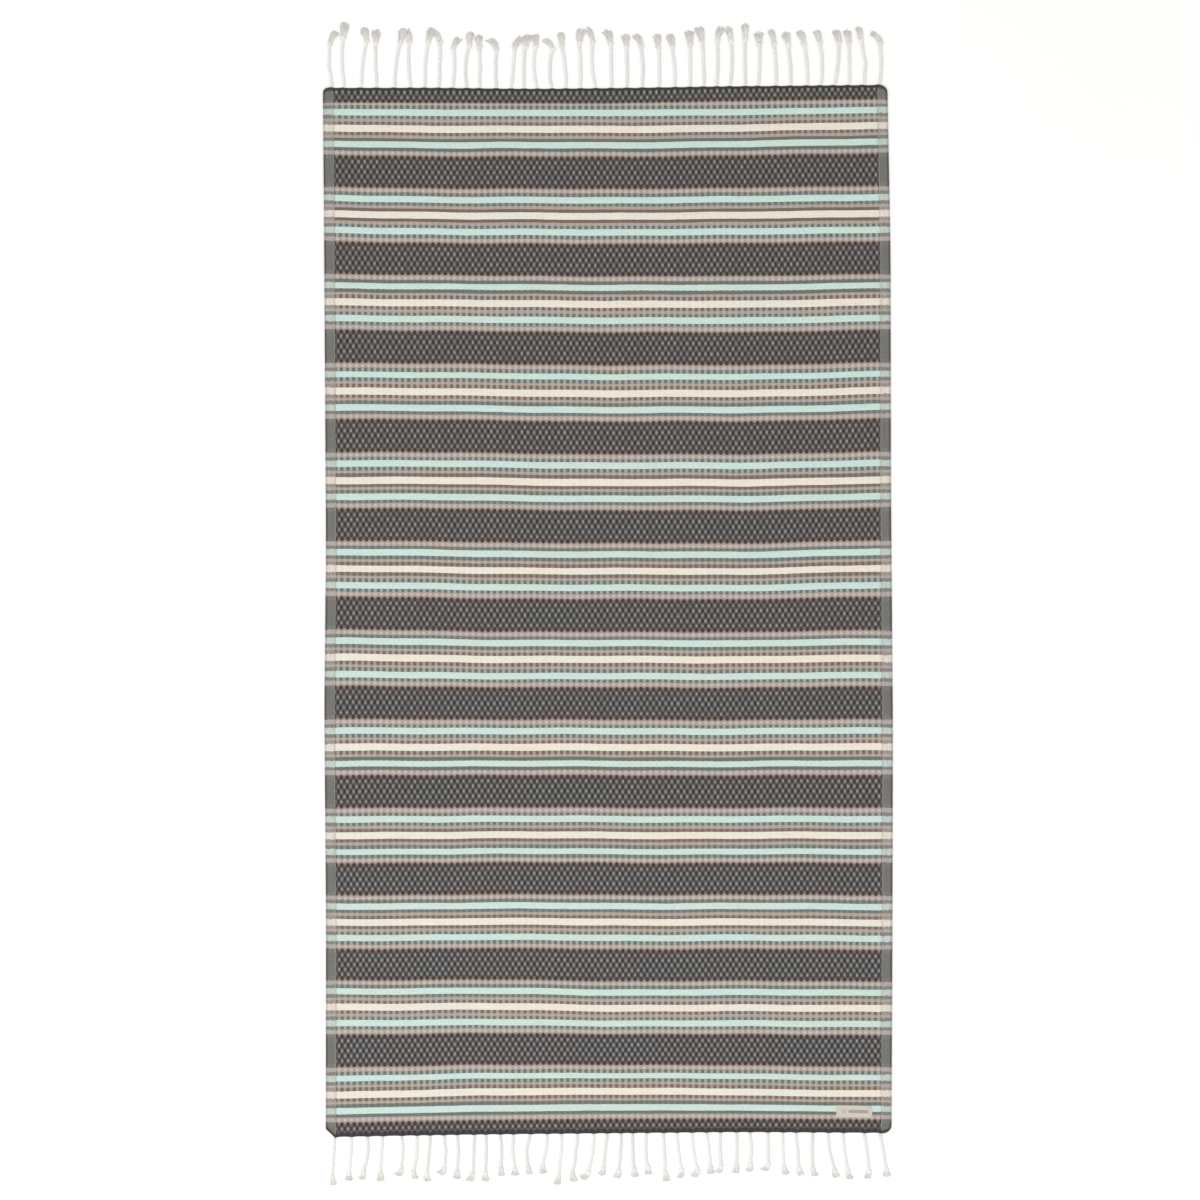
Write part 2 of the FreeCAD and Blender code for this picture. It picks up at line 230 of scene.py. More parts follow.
def smooth(value, start, end):
    """0 before start, 1 after end and a smooth step between them."""
    share = np.clip((np.asarray(value, float) - start) / (end - start), 0, 1)
    return share * share * (3 - 2 * share)


def along(anchors, value):
    """A smooth line through a few (place, amount) anchors."""
    places = [place for place, _ in anchors]
    amounts = [amount for _, amount in anchors]
    value = np.asarray(value, float)
    samples = [np.interp(value + shift, places, amounts) for shift in (-SPREAD, 0, SPREAD)]
    return (samples[0] + 2 * samples[1] + samples[2]) / 4


def settle(u, s):
    """How far the stripes lie from where an even weave would have them, towards the front."""
    back = BACK_EDGE - WEAVE_START - along(BACK_LINE, u)
    front = BACK_EDGE - WEAVE_END - along(FRONT_LINE, u)
    amounts = [back] + [np.interp(u, SETTLE_ACROSS, amount) for _, amount in SETTLE] + [front]
    stations = np.array([WEAVE_START] + [station for station, _ in SETTLE] + [WEAVE_END])
    after = np.clip(np.searchsorted(stations, s, side="right"), 1, len(stations) - 1)
    share = (s - stations[after - 1]) / (stations[after] - stations[after - 1])
    amounts = np.stack(amounts)
    first = np.take_along_axis(amounts, (after - 1)[None], 0)[0]
    second = np.take_along_axis(amounts, after[None], 0)[0]
    inside = smooth(s, 20, 90) * (1 - smooth(s, WEAVE_END - 90, WEAVE_END - 20))
    wave = 0.45 * np.sin(u / 62 + s / 210) + 0.35 * np.sin(u / 27 - s / 95)
    return first + (second - first) * share + wave * inside


def corner_cut(u, is_front):
    """How far each corner pulls the end of the cloth in, at u."""
    radius = np.where((u < 0) & ~np.asarray(is_front), BACK_LEFT_CORNER, CORNER)
    past = np.clip(np.abs(u) - (HALF_WIDTH - radius), 0, radius)
    round_cut = radius - np.sqrt(np.maximum(radius**2 - past**2, 0))
    chamfer_cut = np.clip(-u - (HALF_WIDTH - CHAMFER), 0, CHAMFER) * 0.93
    return np.where(is_front & (u < 0), chamfer_cut, round_cut)


def corner_shift(u, s):
    """How far (u, s) is pulled towards the front by the corners' cuts."""
    near_back = 1 - smooth(s, WEAVE_START, WEAVE_START + CORNER_REACH)
    near_front = smooth(s, WEAVE_END - CORNER_REACH, WEAVE_END)
    return corner_cut(u, False) * near_back - corner_cut(u, True) * near_front


def scallops(u, tassels):
    """How far the cloth's end is drawn out where each tassel gathers its threads."""
    total = np.zeros_like(u)
    for root, *_ in tassels:
        total += np.exp(-(((u - root) / 4.5) ** 2))
    return 1.1 * total - 0.35


def place(u, s):
    """Where cloth point (u, s) lies, as X and Y."""
    u = np.asarray(u, float)
    s = np.asarray(s, float)
    u, s = np.broadcast_arrays(u, s)
    y = BACK_EDGE - s - settle(u, s) - corner_shift(u, s)
    y = y + scallops(u, BACK_TASSELS) * (1 - smooth(s, WEAVE_START, 5))
    y = y - scallops(u, FRONT_TASSELS) * smooth(s, WEAVE_END - 7, WEAVE_END)
    share = np.abs(u) / HALF_WIDTH
    edge = np.where(u < 0, along(LEFT_EDGE, y) + HALF_WIDTH, along(RIGHT_EDGE, y) - HALF_WIDTH)
    x = u + edge * share**2
    return x, y


def woven_s(u, s):
    """The stripe coordinate at (u, s): where the corners are cut, the stripes still run straight."""
    return s + corner_shift(u, s)


def lift(x, y):
    """The gentle rise and fall of a cloth that has been folded, in height."""
    long_wave = 1 + np.sin(x / 71 + 1.3 * np.sin(y / 160))
    cross_wave = 1 + np.sin(y / 97 + 1.1 * np.sin(x / 120))
    crease = np.exp(-(((y - FOLD_LINE) / 9) ** 2)) + np.exp(-(((y - 430) / 9) ** 2))
    return 0.16 * long_wave + 0.16 * cross_wave + 0.35 * crease


def dark_distance(s):
    """Distance from the nearest dark band's middle, the repeat's number, and if in its first half."""
    shifted = np.asarray(s, float) - FIRST_DARK
    band = np.floor(shifted / REPEAT)
    share = shifted / REPEAT - band
    distance = np.minimum(share, 1 - share) * REPEAT
    return distance, band.astype(int), share < 0.5


def of_zone(zone_index, field):
    """One field of the zone at each place."""
    return np.array([getattr(zone, field) for zone in ZONES])[zone_index]


def float_mask(u, zone_index, distance, band, first_half):
    """How far a float of the pattern yarn covers the ground, from 0 to 1."""
    row = np.round(distance / ROW_HEIGHT)
    is_dot = zone_index == DOT_ZONE
    offset = np.where(is_dot, 0.5 * (row % 2), of_zone(zone_index, "offset"))
    phase = u / PITCH + offset
    aside = np.abs(phase - np.floor(phase) - 0.5) * PITCH
    up = distance - ROW_HEIGHT * row
    dash = 1 - smooth(aside, 2.2, 3.6)
    dot = 1 - smooth(np.hypot(aside / 2.3, up / 3.0), 0.7, 1.25)
    hollow = 1 - smooth(np.hypot((PITCH / 2 - aside) / HOLLOW[0], up / HOLLOW[1]), 0.7, 1.25)
    tooth = 1 - smooth(np.hypot(aside / TOOTH[0], (distance - TOOTH_MIDDLE) / TOOTH[1]), 0.75, 1.2)
    mask = np.where(is_dot, dot - 0.7 * hollow, dash)
    mask = np.where(zone_index == TEETH_ZONE, tooth, mask)
    solid = np.array(SOLID)[np.clip(band, 0, len(SOLID) - 1)]
    names = of_zone(zone_index, "name")
    green = np.where(first_half, solid[..., 0], solid[..., 1])
    full = np.where(names == "green", green, np.where(names == "brown", solid[..., 2], 0))
    return np.maximum(mask, full)


def relief(u, s):
    """Height of the woven pattern over the plain cloth at (u, s), and how far a float covers it."""
    total = 0
    cover = 0
    distance, band, first_half = dark_distance(s)
    for nudge in (-0.05, 0.05):
        from_cream = np.clip(REPEAT / 2 - distance + nudge, 0, REPEAT / 2 - 1e-6)
        zone_index = np.minimum(np.searchsorted(LIMITS, from_cream, side="right"), DOT_ZONE)
        mask = float_mask(u, zone_index, distance, band, first_half)
        low = of_zone(zone_index, "low")
        high = of_zone(zone_index, "high")
        start = np.concatenate(([-LIMITS[0]], LIMITS[:-1]))[zone_index]
        share = np.clip((from_cream - start) / (LIMITS[zone_index] - start), 0, 1)
        banded = np.isin(zone_index, BANDED_ZONES)
        plump = np.where(banded, 0.3 * np.sqrt(np.sin(math.pi * share).clip(0)), 0)
        total = total + low + (high - low) * mask + plump
        cover = cover + mask
    inside = 1 - smooth(np.abs(u), 456, 461)
    inside = inside * smooth(s, WEAVE_START, 0.5) * (1 - smooth(s, WEAVE_END - 3, WEAVE_END))
    return total / 2 * inside, cover / 2


# ---- meshes


def mesh_object(name, points, faces, material, attributes=None):
    """A smooth-shaded mesh object from points in millimetres and faces, with its attributes."""
    mesh = bpy.data.meshes.new(name)
    corners = [[int(corner) for corner in face] for face in faces]
    mesh.from_pydata((np.asarray(points) * MM).tolist(), [], corners)
    mesh.polygons.foreach_set("use_smooth", np.ones(len(corners), bool))
    mesh.validate()
    for key, values in (attributes or {}).items():
        values = np.asarray(values, np.float32)
        kind, field = ("FLOAT_VECTOR", "vector") if values.ndim == 2 else ("FLOAT", "value")
        layer = mesh.attributes.new(key, kind, "POINT")
        layer.data.foreach_set(field, values.ravel())
    mesh.materials.append(material)
    piece = bpy.data.objects.new(name, mesh)
    bpy.context.scene.collection.objects.link(piece)
    return piece


def side_and_up(path):
    """For each point of a path, a level direction across it and the one over it."""
    ahead = np.gradient(path, axis=0)
    ahead = ahead / np.linalg.norm(ahead, axis=1, keepdims=True)
    side = np.cross(ahead, [0, 0, 1])
    side /= np.maximum(np.linalg.norm(side, axis=1, keepdims=True), 1e-6)
    return side, np.cross(side, ahead)


def sleeve_faces(rows, sides):
    """Faces of a closed sleeve: rows of points that each go round it, and both its ends."""
    faces = [list(range(sides))[::-1]]
    for base in range(0, (rows - 1) * sides, sides):
        for k in range(sides):
            following = (k + 1) % sides
            faces.append([base + k, base + following, base + sides + following, base + sides + k])
    last = (rows - 1) * sides
    faces.append([last + k for k in range(sides)])
    return faces


def tube(path, radii, sides):
    """A closed round tube along a path, as points and faces."""
    side, up = side_and_up(path)
    radii = np.broadcast_to(radii, len(path))
    angles = np.arange(sides) * 2 * math.pi / sides
    ring = np.cos(angles)[None, :, None] * side[:, None] + np.sin(angles)[None, :, None] * up[:, None]
    points = path[:, None] + ring * radii[:, None, None]
    return points.reshape(-1, 3), sleeve_faces(len(path), sides)


class Pile:
    """Many small tubes that make one piece, each with its strand's own tone."""

    def __init__(self):
        self.points = []
        self.faces = []
        self.tones = []
        self.count = 0

    def add(self, path, radii, sides, tone):
        points, faces = tube(path, radii, sides)
        self.points.append(points)
        self.faces.extend([[corner + self.count for corner in face] for face in faces])
        self.tones.append(np.full(len(points), tone, float))
        self.count += len(points)

    def make(self, name, material):
        attributes = {"strand": np.concatenate(self.tones)}
        return mesh_object(name, np.concatenate(self.points), self.faces, material, attributes)


def joined(*grids):
    """Grids of X, Y and Z, or of any three amounts, as one list of points."""
    return np.stack(grids, -1).reshape(-1, 3)


def grid_faces(rows, columns, flip=False):
    """Quads of a grid of points, row by row."""
    first = (np.arange(rows - 1)[:, None] * columns + np.arange(columns - 1)).ravel()
    quads = np.stack([first, first + 1, first + columns + 1, first + columns], axis=1)
    return quads[:, ::-1] if flip else quads


def rim(rows, columns):
    """Indices round a grid's rim, starting at its first corner and following its first row."""
    bottom = list(range(columns))
    right = [row * columns + columns - 1 for row in range(1, rows)]
    top = [(rows - 1) * columns + column for column in range(columns - 2, -1, -1)]
    left = [row * columns for row in range(rows - 2, 0, -1)]
    return bottom + right + top + left


# ---- shader graphs


class Graph:
    """Short ways to add nodes to one material and link them."""

    def __init__(self, name):
        self.material = bpy.data.materials.new(name)
        self.material.use_nodes = True
        self.tree = self.material.node_tree
        self.shader = self.tree.nodes["Principled BSDF"]

    def node(self, kind, **settings):
        made = self.tree.nodes.new(kind)
        for key, value in settings.items():
            setattr(made, key, value)
        return made

    def set(self, socket, value):
        if isinstance(value, bpy.types.NodeSocket):
            self.tree.links.new(value, socket)
        else:
            socket.default_value = value

    def math(self, operation, *values):
        made = self.node("ShaderNodeMath", operation=operation)
        for socket, value in zip(made.inputs, values):
            self.set(socket, value)
        return made.outputs[0]

    times = partialmethod(math, "MULTIPLY")
    minus = partialmethod(math, "SUBTRACT")
    plus = partialmethod(math, "ADD")
    over = partialmethod(math, "DIVIDE")
    scaled = partialmethod(math, "MULTIPLY_ADD")

    def apart(self, first, second):
        """How far apart two values are."""
        return self.math("ABSOLUTE", self.minus(first, second))

    def vary(self, value, chance, amount):
        """A value moved up and down by a chance from 0 to 1."""
        return self.scaled(self.minus(chance, 0.5), amount, value)

    def step(self, value, start, end, low=0.0, high=1.0):
        """Smooth step of a value from low at start to high at end."""
        made = self.node("ShaderNodeMapRange", interpolation_type="SMOOTHSTEP")
        for socket, setting in zip(made.inputs, (value, start, end, low, high)):
            self.set(socket, setting)
        return made.outputs[0]

    def mix(self, factor, first, second, blend="MIX"):
        made = self.node("ShaderNodeMix", data_type="RGBA", blend_type=blend)
        self.set(made.inputs["Factor"], factor)
        self.set(made.inputs[6], first)
        self.set(made.inputs[7], second)
        return made.outputs[2]

    def blend_values(self, factor, first, second):
        made = self.node("ShaderNodeMix", data_type="FLOAT")
        self.set(made.inputs["Factor"], factor)
        self.set(made.inputs[2], first)
        self.set(made.inputs[3], second)
        return made.outputs[0]

    def ramp(self, factor, stops, interpolation="CONSTANT"):
        made = self.node("ShaderNodeValToRGB")
        made.color_ramp.interpolation = interpolation
        elements = made.color_ramp.elements
        while len(elements) < len(stops):
            elements.new(0.5)
        for element, (position, _) in zip(elements, stops):
            element.position = position
        for element, (_, colour) in zip(elements, stops):
            element.color = colour
        self.set(made.inputs[0], factor)
        return made.outputs["Color"]

    def parts(self, vector):
        made = self.node("ShaderNodeSeparateXYZ")
        self.set(made.inputs[0], vector)
        return made.outputs

    def vector(self, x, y, z=0.0):
        made = self.node("ShaderNodeCombineXYZ")
        for socket, value in zip(made.inputs, (x, y, z)):
            self.set(socket, value)
        return made.outputs[0]

    def attribute(self, name, output="Vector"):
        return self.node("ShaderNodeAttribute", attribute_name=name).outputs[output]

    def noise(self, vector, scale, detail=2.0):
        made = self.node("ShaderNodeTexNoise")
        self.set(made.inputs["Vector"], vector)
        made.inputs["Scale"].default_value = scale
        made.inputs["Detail"].default_value = detail
        return made.outputs[0]

    def speckle(self, vector):
        made = self.node("ShaderNodeTexWhiteNoise", noise_dimensions="3D")
        self.set(made.inputs["Vector"], vector)
        return made.outputs["Value"]

    def oval(self, aside, up, half_width, half_height):
        """0 in the middle of an oval and 1 on its edge."""
        across = self.over(aside, half_width)
        along_ = self.over(up, half_height)
        squares = self.scaled(across, across, self.times(along_, along_))
        return self.math("SQRT", squares)

    def ripple(self, value, period):
        """A wave from 0 to 1 with that period."""
        wave = self.math("SINE", self.times(value, 2 * math.pi / period))
        return self.scaled(wave, 0.5, 0.5)

    def finish(self, colour, height, depth, roughness, sheen=0.25):
        """Links the colour, the bump and the roughness, and returns the material."""
        self.set(self.shader.inputs["Base Color"], colour)
        self.set(self.shader.inputs["Roughness"], roughness)
        self.shader.inputs["Specular IOR Level"].default_value = 0.25
        self.shader.inputs["Sheen Weight"].default_value = sheen
        self.shader.inputs["Sheen Roughness"].default_value = 0.6
        bump = self.node("ShaderNodeBump")
        bump.inputs["Distance"].default_value = depth
        bump.inputs["Strength"].default_value = 0.8
        self.set(bump.inputs["Height"], height)
        self.set(self.shader.inputs["Normal"], bump.outputs["Normal"])
        return self.material


def stripe_ramp(net, place_, pick):
    """pick(zone) for the stripe at place_, which runs from the cream's middle outwards."""
    starts = np.concatenate(([0], LIMITS[:-1])) / LIMITS[-1]
    return net.ramp(place_, [(float(start), pick(zone)) for start, zone in zip(starts, ZONES)])


def yarn_grid(net, u, s):
    """The crossing of yarns at (u, s): its u and s, how high the yarn stands, and a chance."""
    waver = net.noise(net.vector(net.times(u, 0.3), s), 0.12, 2)
    s = net.vary(s, waver, 1.4)
    picks = net.over(s, PICK)
    pick = net.math("FLOOR", picks)
    shift = net.times(net.math("FLOORED_MODULO", pick, 2.0), 0.5)
    ends = net.plus(net.over(u, END), shift)
    end = net.math("FLOOR", ends)
    yarn_s = net.times(net.plus(pick, 0.5), PICK)
    yarn_u = net.times(net.minus(net.plus(end, 0.5), shift), END)
    across = net.minus(net.math("FRACT", picks), 0.5)
    along_ = net.minus(net.math("FRACT", ends), 0.5)
    fall = net.times(net.times(across, across), 2.6)
    fall = net.scaled(net.times(along_, along_), 1.4, fall)
    height = net.minus(1.0, fall)
    chance = net.speckle(net.vector(end, pick, 0.5))
    return yarn_u, yarn_s, height, chance


def stripe_place(net, s):
    """Distance from the dark band, the stripe's place (0 at the cream's middle and 1 at the dark
    band's), the repeat's number, and 1 in its second half."""
    shifted = net.minus(s, FIRST_DARK)
    distance = net.math("PINGPONG", shifted, REPEAT / 2)
    place_ = net.minus(1.0, net.over(distance, REPEAT / 2))
    repeats = net.over(shifted, REPEAT)
    band = net.math("FLOOR", repeats)
    second_half = net.math("GREATER_THAN", net.math("FRACT", repeats), 0.5)
    return distance, place_, band, second_half


def solid_lines(net, distance, band, second_half, is_green, is_brown):
    """Distance from the nearest light line's middle, and how far that line is woven solid."""
    from_cream = net.minus(REPEAT / 2, distance)
    off_line = 99.0
    for centre in LINE_CENTRES:
        off_line = net.math("MINIMUM", off_line, net.apart(from_cream, float(centre)))
    share = net.over(net.plus(band, 0.5), float(len(SOLID)))
    stops = [(k / len(SOLID), (*solid, 1)) for k, solid in enumerate(SOLID)]
    first_solid, second_solid, brown_solid = net.parts(net.ramp(share, stops))
    green_solid = net.blend_values(second_half, first_solid, second_solid)
    green = net.times(is_green, green_solid)
    full = net.plus(green, net.times(is_brown, brown_solid))
    return off_line, net.times(full, net.step(off_line, 3.0, 2.1))


def cell_place(net, u, distance, is_dot, offset):
    """Which dash or dot is nearest, by row and cell, and how far it is across and along."""
    row = net.math("ROUND", net.over(distance, ROW_HEIGHT))
    row_offset = net.times(net.math("MODULO", row, 2.0), 0.5)
    offset = net.blend_values(is_dot, offset, row_offset)
    phase = net.plus(net.over(u, PITCH), offset)
    cell = net.math("FLOOR", phase)
    aside = net.times(net.apart(net.math("FRACT", phase), 0.5), PITCH)
    up = net.minus(distance, net.times(row, ROW_HEIGHT))
    return row, cell, aside, up


def painted_shade_and_tone(net, colour, yarns, chance, depth, clouds):
    """A colour with painted shade between its yarns, varied by each (cloud, amount) and by each
    yarn's own chance.
    """
    shade = net.scaled(yarns, depth, 1.0 - depth)
    for cloud, amount in clouds:
        shade = net.vary(shade, cloud, amount)
    shade = net.scaled(chance, 0.12, shade)
    return net.mix(1.0, colour, net.vector(shade, shade, shade), "MULTIPLY")


def cloth_material():
    """The woven pattern: striped grounds under dashes, teeth and rows of dots, yarn by yarn."""
    net = Graph("woven_cotton")
    real_u, real_s, is_below = net.parts(net.attribute("weave"))
    u, s, yarns, yarn_chance = yarn_grid(net, real_u, real_s)
    distance, place_, band, second_half = stripe_place(net, s)

    ground = stripe_ramp(net, place_, lambda zone: srgb(*zone.ground))
    floats = stripe_ramp(net, place_, lambda zone: srgb(*zone.float))
    kinds = stripe_ramp(net, place_, lambda zone: (*(zone.name == line for line in LINES), 1))
    is_brown, is_taupe, is_green = net.parts(kinds)
    kinds = stripe_ramp(net, place_, lambda zone: (zone.name == "dots", zone.name == "teeth", 0, 1))
    is_dot, is_teeth, _ = net.parts(kinds)
    settings = stripe_ramp(net, place_, lambda zone: (zone.strength, zone.offset, 0, 1))
    strength, offset, _ = net.parts(settings)
    off_line, full = solid_lines(net, distance, band, second_half, is_green, is_brown)
    row, cell, aside, up = cell_place(net, u, distance, is_dot, offset)

    odd = net.math("MODULO", net.math("ABSOLUTE", cell), 2.0)
    half_wide = net.scaled(odd, 0.6, 1.85)
    dot = net.step(net.oval(aside, up, half_wide, 2.85), 1.25, 0.7)
    between = net.minus(PITCH / 2, aside)
    hollow = net.step(net.oval(between, up, *HOLLOW), 1.25, 0.7)
    ground = net.mix(net.times(is_dot, hollow), ground, srgb(*HOLLOW_COLOUR))
    warm = net.times(is_dot, net.step(distance, 12.0, 21.0, 0.0, 0.55))
    ground = net.mix(warm, ground, srgb(74, 62, 56))
    tooth_up = net.minus(distance, TOOTH_MIDDLE)
    tooth = net.step(net.oval(aside, tooth_up, *TOOTH), 1.2, 0.75)
    fade = net.times(is_teeth, net.step(distance, 23.0, 28.5))
    ground = net.mix(fade, ground, srgb(158, 145, 137))
    dash = net.step(aside, 3.2, 2.4)
    spot = net.times(dash, net.step(off_line, 3.0, 1.0))
    dash = net.blend_values(is_taupe, dash, spot)
    mask = net.blend_values(is_dot, dash, dot)
    mask = net.blend_values(is_teeth, mask, tooth)
    mask = net.times(net.math("MAXIMUM", mask, full), strength)
    turned = net.times(is_below, net.times(is_dot, 0.75))
    mask = net.apart(turned, mask)

    chance = net.speckle(net.vector(cell, row, band))
    worn = net.times(net.times(chance, is_dot), 0.4)
    dim = net.scaled(net.times(odd, is_dot), 0.2, worn)
    dim = net.scaled(yarn_chance, 0.15, dim)
    floats = net.mix(dim, floats, ground)
    cool = net.times(is_dot, net.step(s, 800.0, 1750.0, 0.0, 0.55))
    floats = net.mix(cool, floats, srgb(140, 142, 146))
    colour = net.mix(mask, ground, floats)
    tint = net.noise(net.vector(net.times(u, 0.006), net.times(s, 0.02)), 1.0)
    tints = [(0.35, srgb(250, 254, 255)), (0.5, srgb(255, 255, 255)), (0.65, srgb(255, 252, 250))]
    colour = net.mix(1.0, colour, net.ramp(tint, tints, "LINEAR"), "MULTIPLY")
    streak = net.noise(net.vector(net.times(real_u, 0.02), net.times(s, 0.9)), 1.0, 3)
    mottle = net.noise(net.vector(real_u, real_s), 0.22, 4)
    clouds = [(streak, 0.16), (mottle, 0.14)]
    # Painted shade between the yarns; the streaks, mottling and chance are the yarns' own tone.
    colour = painted_shade_and_tone(net, colour, yarns, yarn_chance, 0.34, clouds)

    # Painted shadow: a dark band along each end of the cloth, wider at the front end.
    end = net.attribute("end", "Fac")
    reach = net.step(s, WEAVE_END - 60, WEAVE_END - 40, 5.5, 8.5)
    from_end_shadow = net.minus(net.scaled(mottle, 2.0, end), reach)
    end_shadow = net.step(from_end_shadow, 0.75, -0.75)
    colour = net.mix(net.times(end_shadow, 0.9), colour, srgb(*END_SHADOW))

    height = net.plus(net.times(yarns, 0.7), net.times(mask, 0.3))
    rough = net.scaled(yarns, -0.12, 0.95)
    return net.finish(colour, height, 0.0004, rough, sheen=0.15)


def hem_material():
    """The turned edge shows the cloth's plainer back: muted stripes, ribs, and painted shade along
    its rolled rim and at its inner edge.
    """
    net = Graph("hem_cotton")
    real_u, real_s, _ = net.parts(net.attribute("weave"))
    _, s, yarns, yarn_chance = yarn_grid(net, real_u, real_s)
    distance, place_, _, _ = stripe_place(net, net.vary(s, yarn_chance, 1.5))
    colour = stripe_ramp(net, place_, lambda zone: srgb(*zone.hem))
    is_dark = net.step(distance, 30.0, 27.0)
    across = net.math("ABSOLUTE", real_u)
    # Painted shade along the hem's rolled rim, deeper in the dark stripes.
    rim_shade_depth = net.scaled(is_dark, 0.5, 0.22)
    outer_rim_shade = net.times(net.step(across, 475.0, 478.5), rim_shade_depth)
    colour = net.mix(outer_rim_shade, colour, srgb(60, 57, 55))
    # Painted shade along the hem's inner edge, where it meets the cloth, in the dark stripes only.
    inner = net.times(net.step(across, 464.2, 462.4), net.times(is_dark, 0.3))
    colour = net.mix(inner, colour, srgb(52, 49, 47))
    weft = net.noise(net.vector(net.times(real_u, 0.03), s), 0.8, 3)
    ends = net.noise(net.vector(real_u, net.times(real_s, 0.012)), 0.55, 2)
    # Painted shade between the yarns; the weft and ends clouds are the yarns' own tone.
    colour = painted_shade_and_tone(net, colour, yarns, yarn_chance, 0.3, [(weft, 0.2), (ends, 0.5)])
    # Painted shadow along each end of the hem, as on the cloth.
    end = net.attribute("end", "Fac")
    end_shadow = net.step(net.scaled(weft, 2.0, end), 9.0, 5.0)
    colour = net.mix(net.times(end_shadow, 0.85), colour, srgb(*END_SHADOW))
    rough = net.scaled(yarns, -0.1, 0.95)
    return net.finish(colour, yarns, 0.0003, rough, sheen=0.15)


def yarn_material(name, light, dark, depth, sheen):
    """Spun cotton yarn, with its own colour for each strand and fine fibres along it."""
    net = Graph(name)
    place_ = net.node("ShaderNodeTexCoord").outputs["Object"]
    strand = net.attribute("strand", "Fac")
    fibre = net.noise(place_, 900.0, 3)
    cloud = net.noise(place_, 90.0, 2)
    tone = net.scaled(strand, 0.45, net.times(cloud, 0.5))
    tone = net.scaled(fibre, 0.25, tone)
    colour = net.ramp(tone, [(0.2, srgb(*light)), (0.95, srgb(*dark))], "LINEAR")
    rough = net.scaled(fibre, 0.15, 0.8)
    return net.finish(colour, fibre, depth, rough, sheen)


def label_material():
    """A smooth woven tape with a plain woven bar in place of any wording."""
    net = Graph("label_tape")
    u, s, _ = net.parts(net.attribute("weave"))
    rib = net.times(net.ripple(u, 0.7), net.ripple(s, 0.7))
    cloud = net.noise(net.vector(u, s), 0.3, 3)
    base = net.ramp(cloud, [(0.3, srgb(192, 187, 177)), (0.7, srgb(202, 197, 187))], "LINEAR")
    bar_u = net.step(net.apart(u, 7.0), 17.5, 16.0)
    bar_s = net.step(net.math("ABSOLUTE", s), 3.2, 2.2)
    bar = net.times(net.times(bar_u, bar_s), 0.65)
    square_u = net.step(net.math("ABSOLUTE", net.plus(u, 17.5)), 4.4, 3.4)
    square_s = net.step(net.math("ABSOLUTE", s), 4.4, 3.4)
    square = net.times(net.times(square_u, square_s), 0.25)
    colour = net.mix(net.plus(bar, square), base, srgb(128, 124, 116))
    rough = net.scaled(rib, -0.2, 0.75)
    return net.finish(colour, rib, 0.0002, rough, sheen=0.1)


def floor_material():
    """A plain pale studio floor with the faintest unevenness."""
    net = Graph("studio_floor")
    place_ = net.node("ShaderNodeTexCoord").outputs["Object"]
    cloud = net.noise(place_, 3.0, 2)
    colour = net.ramp(cloud, [(0.3, (0.9, 0.9, 0.895, 1)), (0.7, (0.91, 0.91, 0.905, 1))], "LINEAR")
    return net.finish(colour, cloud, 0.0001, 0.9, sheen=0.0)


# ---- the cloth


def weave_rows():
    """Where the cloth's rows of points lie along s: on every stripe's edge and a few between."""
    edges = [WEAVE_START, WEAVE_END]
    for k in range(-1, int(CLOTH_LENGTH / REPEAT) + 2):
        cream = FIRST_DARK + REPEAT * (k + 0.5)
        start = 0.0
        for zone, limit in zip(ZONES, LIMITS):
            for row in range(zone.rows):
                offset = start + (limit - start) * row / zone.rows
                edges += [cream + offset, cream - offset]
            start = limit
    edges = np.unique(np.round([edge for edge in edges if WEAVE_START <= edge <= WEAVE_END], 3))
    keep = np.concatenate(([True], np.diff(edges) > 0.8))
    keep[-1] = True
    edges = edges[keep]
    fold_s = BACK_EDGE - FOLD_LINE
    fold_s -= float(settle(np.array(0.0), np.array(fold_s)))
    rows = [edges[0]]
    for start, end in zip(edges[:-1], edges[1:]):
        near_fold = abs((start + end) / 2 - fold_s) < 10
        pieces = 4 if near_fold else 1
        rows += [start + (end - start) * (k + 1) / pieces for k in range(pieces)]
    if len(rows) % 2 == 0:
        longest = int(np.argmax(np.diff(rows)))
        rows.insert(longest + 1, (rows[longest] + rows[longest + 1]) / 2)
    return np.array(rows)


def end_distance(y):
    """Distance of a grid's points from its two ends, along Y."""
    return np.minimum(y[:1] - y, y - y[-1:])


